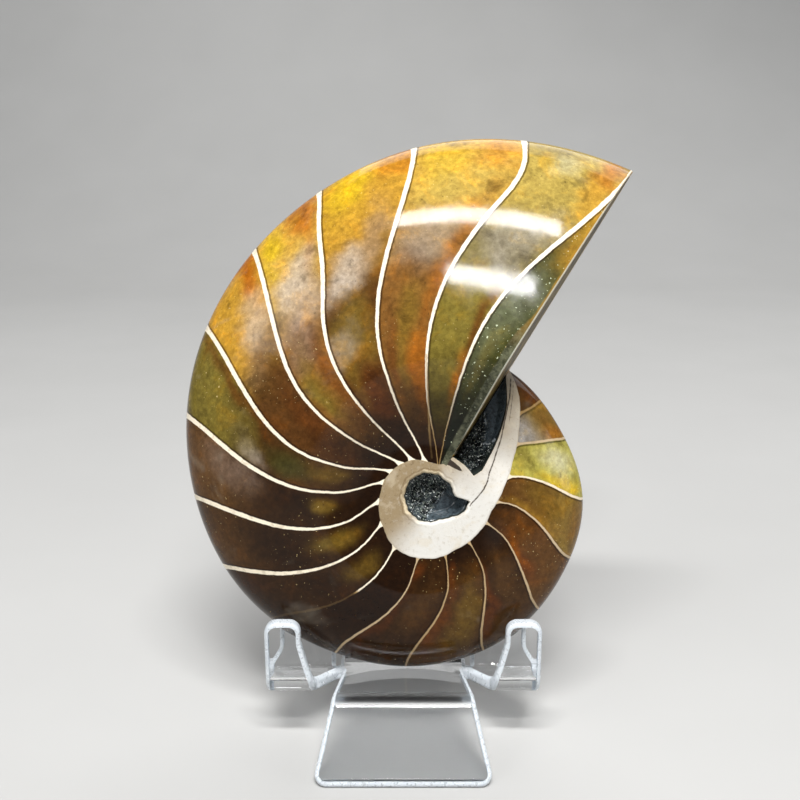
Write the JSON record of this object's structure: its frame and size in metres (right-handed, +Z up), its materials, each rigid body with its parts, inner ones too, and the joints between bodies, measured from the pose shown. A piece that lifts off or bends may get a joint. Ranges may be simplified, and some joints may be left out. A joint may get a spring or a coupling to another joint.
{
  "type": "polished fossil nautilus half on a display stand",
  "caption": "Polished fossil nautilus shell, a flat-backed half with crystal-lined hollows, resting in a clear bent-sheet stand.",
  "frame": {"origin": "middle of the base of the whole object's box, on the ground", "axes": "+Z up, the viewer on the -Y side, +X to the viewer's right"},
  "size_m": [0.089, 0.061, 0.1144],
  "materials": {
    "polished_fossil": "polished, amber to dark brown chambers with cream suture lines and a matte white umbilical ring",
    "dark_crystal": "small sparkling crystals, dark blue-grey",
    "clear_plastic": "clear, polished, rounded bright edges"
  },
  "bodies": {
    "root": {"fossil_shell_half": "polished_fossil", "umbilical_crystal_crust": "dark_crystal", "mouth_crystal_crust": "dark_crystal", "display_stand": "clear_plastic"}
  },
  "joints": []
}
